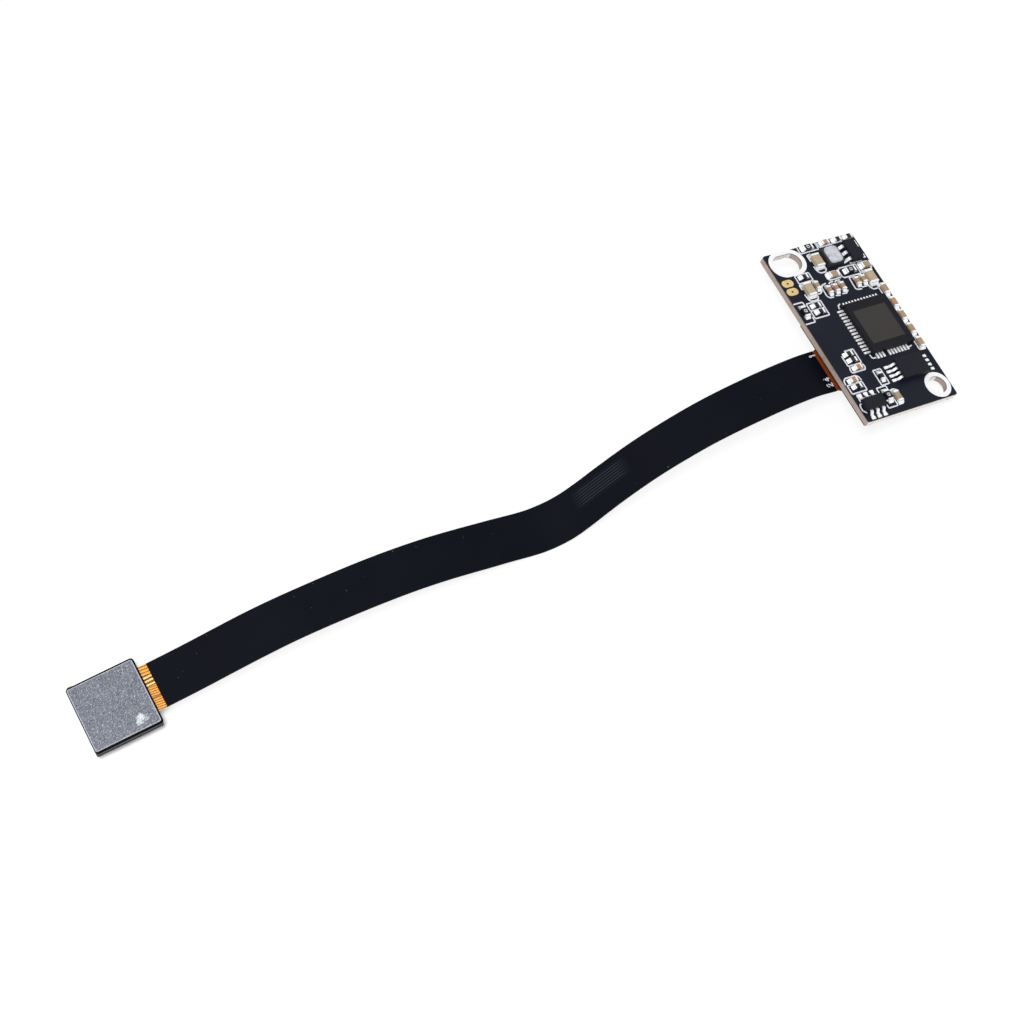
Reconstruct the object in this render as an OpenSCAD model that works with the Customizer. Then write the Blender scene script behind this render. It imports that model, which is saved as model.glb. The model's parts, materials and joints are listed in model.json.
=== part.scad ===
// Camera module: a square camera head, a flat ribbon and a small USB camera board.
// Millimetres, +Z up. +X runs from the head to the board. Everything rests on z = 0.
// The head lies lens down. The board leans on the header under its far edge, and the
// ribbon holds its near edge up.

/* [Camera head] */
// length of the back plate along the ribbon
plate_length = 8.5; // [8.4:0.1:9.5]
// width of the back plate across the ribbon
plate_width = 8.7; // [8.6:0.1:9.5]
// thickness of the back plate
plate_thickness = 0.3; // [0.2:0.05:0.4]
// height of the head, lens down
head_height = 4.2; // [4:0.1:5]
// outside diameter of the lens barrel
barrel_diameter = 5.4; // [5.2:0.1:6]
// clear opening in front of the lens
lens_opening = 2.4; // [1.8:0.1:3]

/* [Ribbon] */
// width of the ribbon
ribbon_width = 6.1; // [5.6:0.05:6.4]
// thickness of the copper and polyimide core
core_thickness = 0.12; // [0.1:0.01:0.16]
// thickness of each black cover film
film_thickness = 0.06; // [0.04:0.01:0.08]
// amber neck left bare beside the head
neck_length = 1.3; // [0.8:0.1:2.5]
// level distance from the head's plate to the board
board_gap = 91.9; // [90:0.1:94]

/* [Board] */
// long side of the board
board_long = 25.8; // [25:0.1:27]
// short side of the board
board_short = 14.8; // [14.7:0.1:16]
// thickness of the board
board_thickness = 0.9; // [0.8:0.05:1.2]
// lean of the board in degrees
board_tilt = 21.5; // [18:0.5:23]
// diameter of the round mounting hole
hole_diameter = 2.5; // [2:0.1:2.7]
// width of the slotted mounting hole
slot_width = 2.7; // [2.2:0.1:2.8]
// length of the slotted mounting hole
slot_length = 4.3; // [3.6:0.1:4.4]
// width of the tinned ring around each mounting hole
ring_width = 0.6; // [0.4:0.05:0.65]

/* [Board parts] */
// main chip, size along the short side of the board
chip_short = 6.8; // [6.6:0.1:7]
// main chip, size along the long side of the board
chip_long = 7.4; // [7.3:0.1:7.6]
// height of the main chip
chip_height = 0.8; // [0.6:0.05:1]
// height of the power inductor with its coating
inductor_height = 1.05; // [0.8:0.05:1.4]
// height of the USB header under the board
header_height = 3.35; // [3:0.05:3.8]
// gap between the board and the ribbon, filled by the plug and its socket
stack_height = 0.95; // [0.8:0.05:1.1]

/* [Hidden] */
$fn = 48;
// where the head and the board stand: the origin is the middle of the base
// the camera head's circuit and holder stand out past its plate by edge_step
edge_step = 0.1;
half_length = (edge_step + plate_length + board_gap + board_short * cos(board_tilt)) / 2;
edge_x = edge_step + plate_length - half_length;
head_x = edge_x - plate_length / 2;
head_y = -1.07;
board_x = edge_x + board_gap;
// levels inside the head, counted up from the lens face
flex_top = head_height - plate_thickness;
flex_bottom = flex_top - core_thickness;
flange_height = 1.05;
flange_bottom = flex_bottom - flange_height;
barrel_head = 1.2;
holder_side = 6.6;
head_side = [plate_length + 2 * edge_step, plate_width + 2 * edge_step];
corner_radius = 0.25;
thread_radius = 2.4;
filter_side = 4.6;
sensor_room = 5.6;
lens_curve = 5.5;
lens_seat = 0.4;
lens_radius = 1.95;
filter_height = 0.3;
filter_bottom = 2.6;
filter_top = filter_bottom + filter_height;
sensor_height = 0.5;
// header under the far edge of the board
header_inset = 0.5;
header_depth = 4.8;
header_length = 7.6;
header_wall = 0.6;
anchor_size = [1.6, 0.4, 0.8];
header_pins = 4;
header_pitch = 1.25;
reach = board_short - header_inset;
board_lift = reach * sin(board_tilt) + (board_thickness + header_height) * cos(board_tilt);
// ribbon plug and socket under the near edge of the board
tail_y = -3.75;
plug_x = 3.1;
plug_short = 2.8;
plug_long = 6.6;
island_short = 2;
island_long = 5.8;
plug_base = 0.25;
contacts = 12;
contact_pitch = 0.4;
contact_gap = 0.05;
tail_end = 5;
core_level = -(board_thickness + stack_height + core_thickness / 2);

// a point given on the board, in the frame of the whole part
function board_point(x, y, z) = [
  board_x + x * cos(board_tilt) + z * sin(board_tilt),
  y,
  board_lift - x * sin(board_tilt) + z * cos(board_tilt)
];

// route of the ribbon: level distance from the plate, sideways offset from the head's
// middle line, height of the ribbon's underside, lean of its near edge upwards
route = [
  [6, -0.04, 4.2, 0], [10, -0.16, 4.9, 0], [14, -0.32, 5.65, 0], [18, -0.5, 6.15, 1.5],
  [22, -0.67, 6.25, 2], [26, -0.83, 6.1, 1], [30, -1.03, 5.85, 0.5], [34, -1.25, 5.35, 0.5],
  [38, -1.47, 4.45, 0], [41, -1.66, 3.55, 0], [44, -1.86, 2.55, 0], [46, -1.97, 1.85, 0.5],
  [48, -2.08, 1.07, 1], [49.5, -2.18, 0.54, 1.5], [51, -2.29, 0.22, 2],
  [52.5, -2.37, 0.15, 2.5], [54, -2.44, 0.32, 3.8], [55.5, -2.49, 0.82, 5.4],
  [57.5, -2.57, 2.12, 7.2], [60, -2.67, 4.08, 8.8], [63, -2.77, 6.15, 9.7],
  [66, -2.82, 7.7, 9.9], [69.5, -2.87, 8.95, 9.5], [73, -2.87, 9.7, 8.5],
  [76.5, -2.87, 10, 7], [80, -2.87, 9.95, 5.8], [83, -2.83, 9.65, 5],
  [86, -2.77, 9.05, 4], [88.5, -2.7, 8.3, 2.5]
];
// level distance from the last point of the route to the board
run_in = 3.1;
stretch = (board_gap - run_in) / route[len(route) - 1][0];
half_ribbon = core_thickness / 2 + film_thickness;
core_start = flex_top - core_thickness / 2;
neck_y = head_y + 0.05;
tail_near = board_point(0.1, tail_y, core_level);
tail_far = board_point(tail_end, tail_y, core_level);
knots = concat(
  [[edge_x - 4, neck_y, core_start, 0], [edge_x, neck_y, core_start, 0]],
  [[edge_x + 2, neck_y, core_start + 0.04, 0]],
  [for (p = route) [edge_x + p[0] * stretch, head_y + p[1], p[2] + half_ribbon, p[3]]],
  [concat(tail_near, 0), concat(tail_far, 0)]
);
last = len(knots) - 1;

// slope of the route at each knot, along axis a
function chord(i, a) = (knots[i + 1][a] - knots[i][a]) / (knots[i + 1][0] - knots[i][0]);
function span(i) = knots[i + 1][0] - knots[i][0];
function knot_slope(i, a) =
  i <= 1 ? 0 :
  i >= last - 1 ? chord(last - 1, a) :
  (span(i - 1) * chord(i, a) + span(i) * chord(i - 1, a)) / (span(i - 1) + span(i));
slopes = [for (i = [0 : last]) [0, knot_slope(i, 1), knot_slope(i, 2), knot_slope(i, 3)]];
function find_span(x, i = 0) = (i >= last - 1 || x < knots[i + 1][0]) ? i : find_span(x, i + 1);
// offset, height or lean of the route at a given x, by a smooth curve between the knots
function curve(x, a, i, t) =
  knots[i][a] * (2 * t * t * t - 3 * t * t + 1)
  + slopes[i][a] * span(i) * (t * t * t - 2 * t * t + t)
  + knots[i + 1][a] * (3 * t * t - 2 * t * t * t)
  + slopes[i + 1][a] * span(i) * (t * t * t - t * t);
function curve_slope(x, a, i, t) =
  (knots[i][a] * (6 * t * t - 6 * t)
  + knots[i + 1][a] * (6 * t - 6 * t * t)) / span(i)
  + slopes[i][a] * (3 * t * t - 4 * t + 1)
  + slopes[i + 1][a] * (3 * t * t - 2 * t);
function unit(v) = v / norm(v);
// four corners of the ribbon's section at x, between two levels of its thickness
function ring(x, width, low, high) =
  let (
    i = find_span(x),
    t = (x - knots[i][0]) / span(i),
    middle = [x, curve(x, 1, i, t), curve(x, 2, i, t)],
    lean = curve(x, 3, i, t),
    dy = curve_slope(x, 1, i, t),
    dz = curve_slope(x, 2, i, t),
    level = unit([-dy, 1, 0]),
    rise = unit(cross([1, dy, dz], level)),
    side = (level * cos(lean) - rise * sin(lean)) * width / 2,
    up = rise * cos(lean) + level * sin(lean)
  )
  [middle - side + up * low, middle + side + up * low,
   middle + side + up * high, middle - side + up * high];
film_start = edge_x + neck_length;
film_gap = 0.05;
film_end = tail_near[0] - film_gap;
// places along X where the ribbon has a ring of corners, closest together in the crease
crease_start = 43;
crease_end = 62;
level_places = concat(
  [for (a = [3.1 : 1.7 : crease_start - 1]) a],
  [for (a = [crease_start : 1 : crease_end]) a],
  [for (a = [crease_end + 1.5 : 1.7 : 89.5]) a]
);
film_stations = concat(
  [film_start],
  [for (a = level_places)
    let (x = edge_x + a * stretch)
      if (x > film_start + 0.2 && x < film_end - 0.2) x],
  [film_end]
);
stations = concat([edge_x - 0.3, edge_x], film_stations, [tail_near[0], tail_far[0]]);

// the board that the positions below are drawn on: they spread out with a larger one
drawn_board = [14.8, 25.2];
// positions on the board: [from the ribbon's edge, from the back edge, turn]
slot_at = [2.92, 1.8];
hole_at = [12.85, 23.25];
test_pads_at = [[1.1, 4.5], [1.05, 5.75]];
chip_at = [9.75, 13.3];
flash_at = [10.45, 20.05];
five_pin_at = [12.75, 2.67];
six_pin_at = [2, 23.2];
inductor_at = [9.45, 2.65];
small_size = [1.1, 0.6];
middle_size = [1.5, 0.75];
large_size = [1.9, 1.2];
small_caps_at = [
  [6.2, 6.95, 90], [7.3, 6.95, 90], [8.4, 6.9, 90], [10.95, 6.8, 90], [12, 6.75, 90],
  [4.85, 5.9, 90], [9.9, 0.4, 0], [3.2, 18, 0], [1.45, 19.45, 0]
];
middle_caps_at = [
  [14.1, 8.85, 90], [14.1, 11, 90], [14.1, 13, 90], [14.1, 15.1, 90], [14.1, 17.2, 90],
  [8.2, 5.05, 0], [13.65, 4.95, 0], [6.05, 23.2, 90]
];
large_caps_at = [[7.05, 2.66, 90], [3.3, 6.2, 90], [13.15, 6.8, 90]];
small_resistors_at = [
  [3.85, 4.25, 0], [3, 8.45, 0], [3.05, 9.4, 0], [12, 0.4, 0], [13.85, 0.4, 0],
  [3.1, 15.95, 0], [3.15, 16.85, 0], [1.5, 20.35, 0], [5.65, 20, 90]
];
middle_resistors_at = [[6.95, 0.48, 0], [10.95, 5.05, 0], [0.85, 8.9, 90], [4.8, 22.7, 90]];
small_cap_height = 0.45;
middle_cap_height = 0.5;
large_cap_height = 0.65;
small_resistor_height = 0.35;
middle_resistor_height = 0.45;
end_length = 0.24;
joint_length = 0.3;
metal_height = 0.04;
chip_pitch = 0.496;
flash_size = [4.2, 2.9, 0.9];
flash_pitch = 0.66;
regulator_size = [1.6, 2.9, 1];
regulator_pitch = 0.96;
inductor_side = 2.6;
tape_height = 0.15;
tape_width = 1.2;
tape_length = 15.4;
tape_inset = 0.2;

// ---- frames ----
module head_frame() {
  translate([head_x, head_y, 0])
    children();
}

module board_frame() {
  translate([board_x, 0, board_lift])
    rotate([0, board_tilt, 0])
      children();
}

// a place on the board's top face
module spot(at) {
  translate([board_short * at[0] / drawn_board[0],
             board_long * (0.5 - at[1] / drawn_board[1]), 0])
    rotate([0, 0, len(at) > 2 ? at[2] : 0])
      children();
}

// ---- shared shapes ----
module rounded_square(length, width, radius) {
  square([length - 2 * radius, width], center = true);
  square([length, width - 2 * radius], center = true);
  for (x = [-1, 1]) {
    for (y = [-1, 1]) {
      translate([x * (length / 2 - radius), y * (width / 2 - radius)])
        circle(radius);
    }
  }
}

module stadium(length, width) {
  square([length - width, width], center = true);
  for (x = [-1, 1]) {
    translate([x * (length - width) / 2, 0])
      circle(width / 2);
  }
}

module slab(length, width, radius, low, high) {
  translate([0, 0, low])
    linear_extrude(high - low)
      rounded_square(length, width, radius);
}

module block(length, width, low, high) {
  translate([-length / 2, -width / 2, low])
    cube([length, width, high - low]);
}

module ribbon_layer(at, width, low, high) {
  rings = [for (x = at) ring(x, width, low, high)];
  points = [for (r = rings) each r];
  end = 4 * (len(at) - 1);
  // the underside's triangles turn the other way, so that they meet those of the layer below
  sides = [
    for (i = [0 : len(at) - 2])
      for (j = [0 : 3])
        for (half = [0, 1])
          let (a = 4 * i + j, b = 4 * i + (j + 1) % 4)
            j == 0 ? (half == 0 ? [a, a + 4, b] : [a + 4, b + 4, b])
                   : (half == 0 ? [a, a + 4, b + 4] : [a, b + 4, b])
  ];
  caps = [[0, 1, 2, 3], [end + 3, end + 2, end + 1, end]];
  polyhedron(points, concat(sides, caps), convexity = 6);
}

// ---- camera head ----
module stiffener_plate() {
  color([0.5, 0.51, 0.54])
    head_frame() {
      slab(plate_length, plate_width, corner_radius, flex_top, head_height - 0.07);
      slab(plate_length - 0.12, plate_width - 0.12, corner_radius - 0.06,
           head_height - 0.07, head_height);
    }
}

module image_sensor() {
  color([0.1, 0.12, 0.14])
    head_frame()
      block(4.6, 4.2, flex_bottom - sensor_height, flex_bottom);
}

module infrared_filter() {
  color([0.45, 0.6, 0.7])
    head_frame()
      block(filter_side, filter_side, filter_bottom, filter_top);
}

module lens_holder() {
  color([0.05, 0.05, 0.06])
    head_frame()
      difference() {
        union() {
          slab(head_side[0], head_side[1], corner_radius, flange_bottom, flex_bottom);
          slab(holder_side, holder_side, 0.5, barrel_head, flange_bottom);
        }
        translate([0, 0, barrel_head - 1])
          cylinder(h = 3.35 - barrel_head + 0.05, r = thread_radius);
        translate([0, 0, barrel_head])
          cylinder(h = filter_top - barrel_head, r = 1.8);
        block(filter_side, filter_side, filter_bottom, filter_top + 0.01);
        block(sensor_room, sensor_room, filter_top, flex_bottom + 1);
      }
}

module lens_barrel() {
  color([0.04, 0.04, 0.05])
    head_frame()
      rotate_extrude()
        polygon([
          [lens_opening / 2 + 0.6, 0], [barrel_diameter / 2 - 0.1, 0],
          [barrel_diameter / 2, 0.1], [barrel_diameter / 2, barrel_head],
          [thread_radius, barrel_head], [thread_radius, 2.35], [lens_radius, 2.35],
          [lens_radius, lens_seat], [lens_opening / 2, lens_seat],
          [lens_opening / 2, lens_seat - 0.1]
        ]);
}

module front_lens() {
  color([0.25, 0.3, 0.4])
    head_frame()
      intersection() {
        translate([0, 0, lens_seat])
          cylinder(h = 0.8, r = lens_radius);
        translate([0, 0, lens_seat + lens_curve - 0.05])
          sphere(lens_curve);
      }
}

// ---- ribbon ----
module flex_head_pad() {
  head_frame()
    translate([0, 0, flex_bottom])
      linear_extrude(core_thickness) {
        rounded_square(head_side[0], head_side[1], corner_radius);
        translate([-plate_length / 2 + 0.25, 0])
          square([0.6, head_side[1] / 2 + 0.12]);
        translate([plate_length / 2 - 0.1, neck_y - head_y - ribbon_width / 2])
          square([0.4, ribbon_width]);
        neck_flare();
      }
}

module neck_flare() {
  for (side = [-1, 1]) {
    difference() {
      translate([plate_length / 2, neck_y - head_y + side * (ribbon_width / 2 + 0.2) - 0.2])
        square([0.5, 0.4]);
      translate([plate_length / 2 + 0.5, neck_y - head_y + side * (ribbon_width / 2 + 0.4)])
        circle(0.4);
    }
  }
}

module flex_circuit() {
  color([0.78, 0.45, 0.08]) {
    flex_head_pad();
    ribbon_layer(stations, ribbon_width, -core_thickness / 2, core_thickness / 2);
    board_frame()
      translate([0, tail_y, core_level])
        linear_extrude(core_thickness, center = true)
          tail_shape();
  }
}

module tail_shape() {
  difference() {
    translate([0.5, -plug_long / 2 - 0.2])
      square([tail_end - 0.5, plug_long + 0.4]);
    for (side = [-1, 1]) {
      translate([0.5, side * (ribbon_width / 2 + 0.6)])
        circle(0.5);
    }
  }
}

module cover_film_top() {
  color([0.02, 0.025, 0.04])
    ribbon_layer(film_stations, ribbon_width, core_thickness / 2, half_ribbon);
}

module cover_film_bottom() {
  color([0.02, 0.025, 0.04])
    ribbon_layer(film_stations, ribbon_width, -half_ribbon, -core_thickness / 2);
}

// ---- ribbon plug and board socket ----
module plug_frame() {
  board_frame()
    translate([plug_x, tail_y, -board_thickness])
      children();
}

module ribbon_plug() {
  color([0.12, 0.11, 0.1])
    plug_frame() {
      block(plug_short, plug_long, -stack_height, -stack_height + plug_base);
      block(island_short, island_long, -stack_height, -0.15);
    }
}

module plug_contacts() {
  color([0.85, 0.7, 0.35])
    plug_frame()
      for (side = [-1, 1]) {
        for (i = [0 : contacts - 1]) {
          translate([side * (island_short + contact_gap) / 2,
                     (i - (contacts - 1) / 2) * contact_pitch, 0])
            block(contact_gap, 0.2, -stack_height + plug_base + 0.02, -0.2);
        }
      }
}

module board_socket() {
  color([0.14, 0.13, 0.12])
    plug_frame()
      difference() {
        block(plug_short, plug_long, -stack_height + plug_base, 0);
        block(island_short + 2 * contact_gap, island_long + 0.1, -2, -0.12);
      }
}

module socket_contacts() {
  color([0.85, 0.7, 0.35])
    plug_frame()
      for (side = [-1, 1]) {
        for (i = [0 : contacts - 1]) {
          translate([side * (plug_short + 0.4) / 2,
                     (i - (contacts - 1) / 2) * contact_pitch, 0])
            block(0.4, 0.2, -0.1, 0);
        }
      }
}

// ---- board ----
module circuit_board() {
  color([0.05, 0.06, 0.09])
    board_frame()
      translate([0, 0, -board_thickness])
        difference() {
          linear_extrude(board_thickness)
            board_outline();
          spot(slot_at)
            translate([0, 0, -1])
              linear_extrude(board_thickness + 2)
                stadium(slot_length, slot_width);
          spot(hole_at)
            translate([0, 0, -1])
              cylinder(h = board_thickness + 2, r = hole_diameter / 2);
        }
}

module board_outline() {
  translate([board_short / 2, 0])
    rounded_square(board_short, board_long, 0.3);
}

module ring_shapes() {
  intersection() {
    board_outline();
    union() {
      spot(slot_at)
        difference() {
          stadium(slot_length + 2 * ring_width, slot_width + 2 * ring_width);
          stadium(slot_length, slot_width);
        }
      spot(hole_at)
        difference() {
          circle(hole_diameter / 2 + ring_width);
          circle(hole_diameter / 2);
        }
    }
  }
}

module hole_rings() {
  color([0.9, 0.9, 0.88])
    board_frame()
      for (low = [0, -board_thickness - metal_height]) {
        translate([0, 0, low])
          linear_extrude(metal_height)
            ring_shapes();
      }
}

module test_pads() {
  color([0.9, 0.75, 0.45])
    board_frame()
      for (at = test_pads_at) {
        spot(at)
          linear_extrude(metal_height)
            difference() {
              stadium(1.75, 1.05);
              circle(0.15);
            }
      }
}

// ---- chips ----
module main_chip() {
  color([0.07, 0.07, 0.08])
    board_frame()
      spot(chip_at)
        difference() {
          block(chip_short, chip_long, 0, chip_height);
          translate([2.7, -3, chip_height - 0.05])
            cylinder(h = 1, r = 0.2);
        }
}

// one row of solder-filled pads along a side of the main chip
module pad_row(indices, count, length) {
  for (i = indices) {
    translate([length / 2, ((count - 1) / 2 - i) * chip_pitch, 0])
      block(length, 0.27, 0, 0.12);
  }
}

module main_chip_pads() {
  color([0.85, 0.85, 0.86])
    board_frame()
      spot(chip_at) {
        translate([-chip_short / 2, 0, 0])
          rotate([0, 0, 180])
            pad_row([0 : 13], 14, 0.95);
        translate([chip_short / 2, 0, 0])
          pad_row([0 : 13], 14, 0.3);
        translate([0, chip_long / 2, 0])
          rotate([0, 0, 90])
            pad_row([0 : 11], 12, 0.35);
        translate([0, -chip_long / 2, 0])
          rotate([0, 0, -90])
            pad_row([1, 2, 3, 4, 5, 6, 7, 9, 10, 11], 12, 0.75);
      }
}

// one gull-wing lead: leaves a chip's side and steps down to the board
module lead(height, foot, width) {
  rotate([90, 0, 0])
    translate([0, 0, -width / 2])
      linear_extrude(width)
        polygon([
          [0, height + 0.07], [0.22, height + 0.07], [0.5, 0.14], [foot, 0.14],
          [foot, 0], [0.4, 0], [0.14, height - 0.07], [0, height - 0.07]
        ]);
}

module lead_row(count, pitch, height, foot, width) {
  for (i = [0 : count - 1]) {
    translate([0, (i - (count - 1) / 2) * pitch, 0])
      lead(height, foot, width);
  }
}

module flash_chip() {
  color([0.06, 0.06, 0.07])
    board_frame()
      spot(flash_at)
        block(flash_size[0], flash_size[1], 0.08, flash_size[2]);
}

module flash_chip_leads() {
  color([0.85, 0.85, 0.86])
    board_frame()
      spot(flash_at)
        for (turn = [0, 180]) {
          rotate([0, 0, turn])
            translate([flash_size[0] / 2, 0, 0])
              lead_row(4, flash_pitch, 0.42, 1, 0.31);
        }
}

module five_pin_regulator() {
  color([0.06, 0.06, 0.07])
    board_frame()
      spot(five_pin_at)
        block(regulator_size[0], regulator_size[1], 0.08, regulator_size[2]);
}

module five_pin_leads() {
  color([0.85, 0.85, 0.86])
    board_frame()
      spot(five_pin_at) {
        rotate([0, 0, 180])
          translate([regulator_size[0] / 2, 0, 0])
            lead_row(3, regulator_pitch, 0.45, 0.75, 0.44);
        translate([regulator_size[0] / 2, 0, 0])
          lead_row(2, 2 * regulator_pitch, 0.45, 0.7, 0.44);
      }
}

module six_pin_chip() {
  color([0.06, 0.06, 0.07])
    board_frame()
      spot(six_pin_at)
        block(regulator_size[1], regulator_size[0], 0.08, regulator_size[2]);
}

module six_pin_leads() {
  color([0.85, 0.85, 0.86])
    board_frame()
      spot(six_pin_at)
        for (turn = [90, 270]) {
          rotate([0, 0, turn])
            translate([regulator_size[0] / 2, 0, 0])
              lead_row(3, regulator_pitch, 0.45, 0.75, 0.42);
        }
}

// ---- inductor ----
module inductor_core() {
  color([0.07, 0.07, 0.08])
    board_frame()
      spot(inductor_at)
        slab(inductor_side, inductor_side, 0.25, 0, inductor_height - 0.3);
}

module inductor_coating() {
  color([0.72, 0.73, 0.75])
    board_frame()
      spot(inductor_at) {
        slab(1.95, 2.4, 0.5, inductor_height - 0.3, inductor_height - 0.1);
        slab(1.7, 2.15, 0.5, inductor_height - 0.1, inductor_height);
      }
}

// ---- capacitors and resistors ----
// body of a two-ended chip part, between its metal ends
module chip_bodies(places, size, height) {
  board_frame()
    for (at = places) {
      spot(at)
        block(size[0] - 2 * end_length, size[1] - 0.03, 0.03, height - 0.02);
    }
}

module chip_ends(places, size, height) {
  board_frame()
    for (at = places) {
      spot(at)
        for (side = [-1, 1]) {
          translate([side * (size[0] - end_length) / 2, 0, 0])
            block(end_length, size[1], 0, height);
        }
    }
}

module small_capacitors() {
  color([0.62, 0.5, 0.38])
    chip_bodies(small_caps_at, small_size, small_cap_height);
}

module middle_capacitors() {
  color([0.62, 0.5, 0.38])
    chip_bodies(middle_caps_at, middle_size, middle_cap_height);
}

module large_capacitors() {
  color([0.6, 0.52, 0.42])
    chip_bodies(large_caps_at, large_size, large_cap_height);
}

module capacitor_ends() {
  color([0.8, 0.8, 0.8]) {
    chip_ends(small_caps_at, small_size, small_cap_height);
    chip_ends(middle_caps_at, middle_size, middle_cap_height);
    chip_ends(large_caps_at, large_size, large_cap_height);
  }
}

module small_resistors() {
  color([0.03, 0.03, 0.03])
    chip_bodies(small_resistors_at, small_size, small_resistor_height);
}

module middle_resistors() {
  color([0.03, 0.03, 0.03])
    chip_bodies(middle_resistors_at, middle_size, middle_resistor_height);
}

module resistor_ends() {
  color([0.8, 0.8, 0.8]) {
    chip_ends(small_resistors_at, small_size, small_resistor_height);
    chip_ends(middle_resistors_at, middle_size, middle_resistor_height);
  }
}

// sloped solder at both ends of each part
module end_joints(places, size, height) {
  for (at = places) {
    spot(at)
      for (turn = [0, 180]) {
        rotate([0, 0, turn])
          translate([size[0] / 2, 0, 0])
            wedge(size[1], height);
      }
  }
}

module wedge(width, height) {
  rotate([90, 0, 0])
    translate([0, 0, -width / 2])
      linear_extrude(width)
        polygon([[0, 0], [joint_length, 0], [joint_length, 0.05], [0, height * 0.6]]);
}

// solder past the feet of a row of leads
module foot_joints(count, pitch, start, length, width) {
  for (i = [0 : count - 1]) {
    translate([start + length / 2, (i - (count - 1) / 2) * pitch, 0])
      block(length, width, 0, 0.1);
  }
}

module chip_joints() {
  spot(flash_at)
    for (turn = [0, 180]) {
      rotate([0, 0, turn])
        foot_joints(4, flash_pitch, flash_size[0] / 2 + 1, turn == 180 ? 0.5 : 0.25, 0.38);
    }
  spot(five_pin_at) {
    rotate([0, 0, 180])
      foot_joints(3, regulator_pitch, regulator_size[0] / 2 + 0.75, 0.3, 0.62);
    foot_joints(2, 2 * regulator_pitch, regulator_size[0] / 2 + 0.7, 0.25, 0.6);
  }
  spot(six_pin_at)
    for (turn = [90, 270]) {
      rotate([0, 0, turn])
        foot_joints(3, regulator_pitch, regulator_size[0] / 2 + 0.75, 0.35, 0.6);
    }
}

module solder_joints() {
  color([0.88, 0.88, 0.88])
    board_frame() {
      end_joints(small_caps_at, small_size, small_cap_height);
      end_joints(middle_caps_at, middle_size, middle_cap_height);
      end_joints(large_caps_at, large_size, large_cap_height);
      end_joints(small_resistors_at, small_size, small_resistor_height);
      end_joints(middle_resistors_at, middle_size, middle_resistor_height);
      chip_joints();
    }
}

// ---- underside ----
module underside_tape() {
  color([0.03, 0.03, 0.04])
    board_frame()
      translate([0, -board_long / 2 + tape_inset, -board_thickness - tape_height])
        cube([tape_width, tape_length, tape_height]);
}

module header_frame() {
  board_frame()
    translate([reach, 0, -board_thickness])
      children();
}

module usb_header() {
  color([0.85, 0.82, 0.74])
    header_frame()
      difference() {
        translate([-header_depth, -header_length / 2, -header_height])
          cube([header_depth, header_length, header_height]);
        translate([-header_depth + 1.2, -header_length / 2 + header_wall,
                   -header_height + header_wall])
          cube([header_depth, header_length - 2 * header_wall,
                header_height - 2 * header_wall]);
      }
}

module usb_header_pins() {
  color([0.85, 0.75, 0.5])
    header_frame()
      for (i = [0 : header_pins - 1]) {
        translate([0, (i - (header_pins - 1) / 2) * header_pitch, 0]) {
          translate([-header_depth + 1.2, -0.15, -header_height / 2 - 0.15])
            cube([header_depth - 2, 0.3, 0.3]);
          translate([-header_depth - 0.7, -0.15, -0.2])
            cube([0.7, 0.3, 0.2]);
        }
      }
}

module usb_header_anchors() {
  color([0.8, 0.8, 0.8])
    header_frame()
      for (side = [-1, 1]) {
        translate([-header_depth / 2 - 0.6,
                   side * (header_length + anchor_size[1]) / 2 - anchor_size[1] / 2,
                   -anchor_size[2]])
          cube(anchor_size);
      }
}

stiffener_plate();
flex_circuit();
cover_film_top();
cover_film_bottom();
image_sensor();
infrared_filter();
lens_holder();
lens_barrel();
front_lens();
ribbon_plug();
plug_contacts();
board_socket();
socket_contacts();
circuit_board();
hole_rings();
test_pads();
main_chip();
main_chip_pads();
flash_chip();
flash_chip_leads();
five_pin_regulator();
five_pin_leads();
six_pin_chip();
six_pin_leads();
inductor_core();
inductor_coating();
small_capacitors();
middle_capacitors();
large_capacitors();
capacitor_ends();
small_resistors();
middle_resistors();
resistor_ends();
solder_joints();
underside_tape();
usb_header();
usb_header_pins();
usb_header_anchors();
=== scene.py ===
"""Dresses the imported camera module: finishes, the ribbon's skin and the printed marks."""
import json
import math

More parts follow.
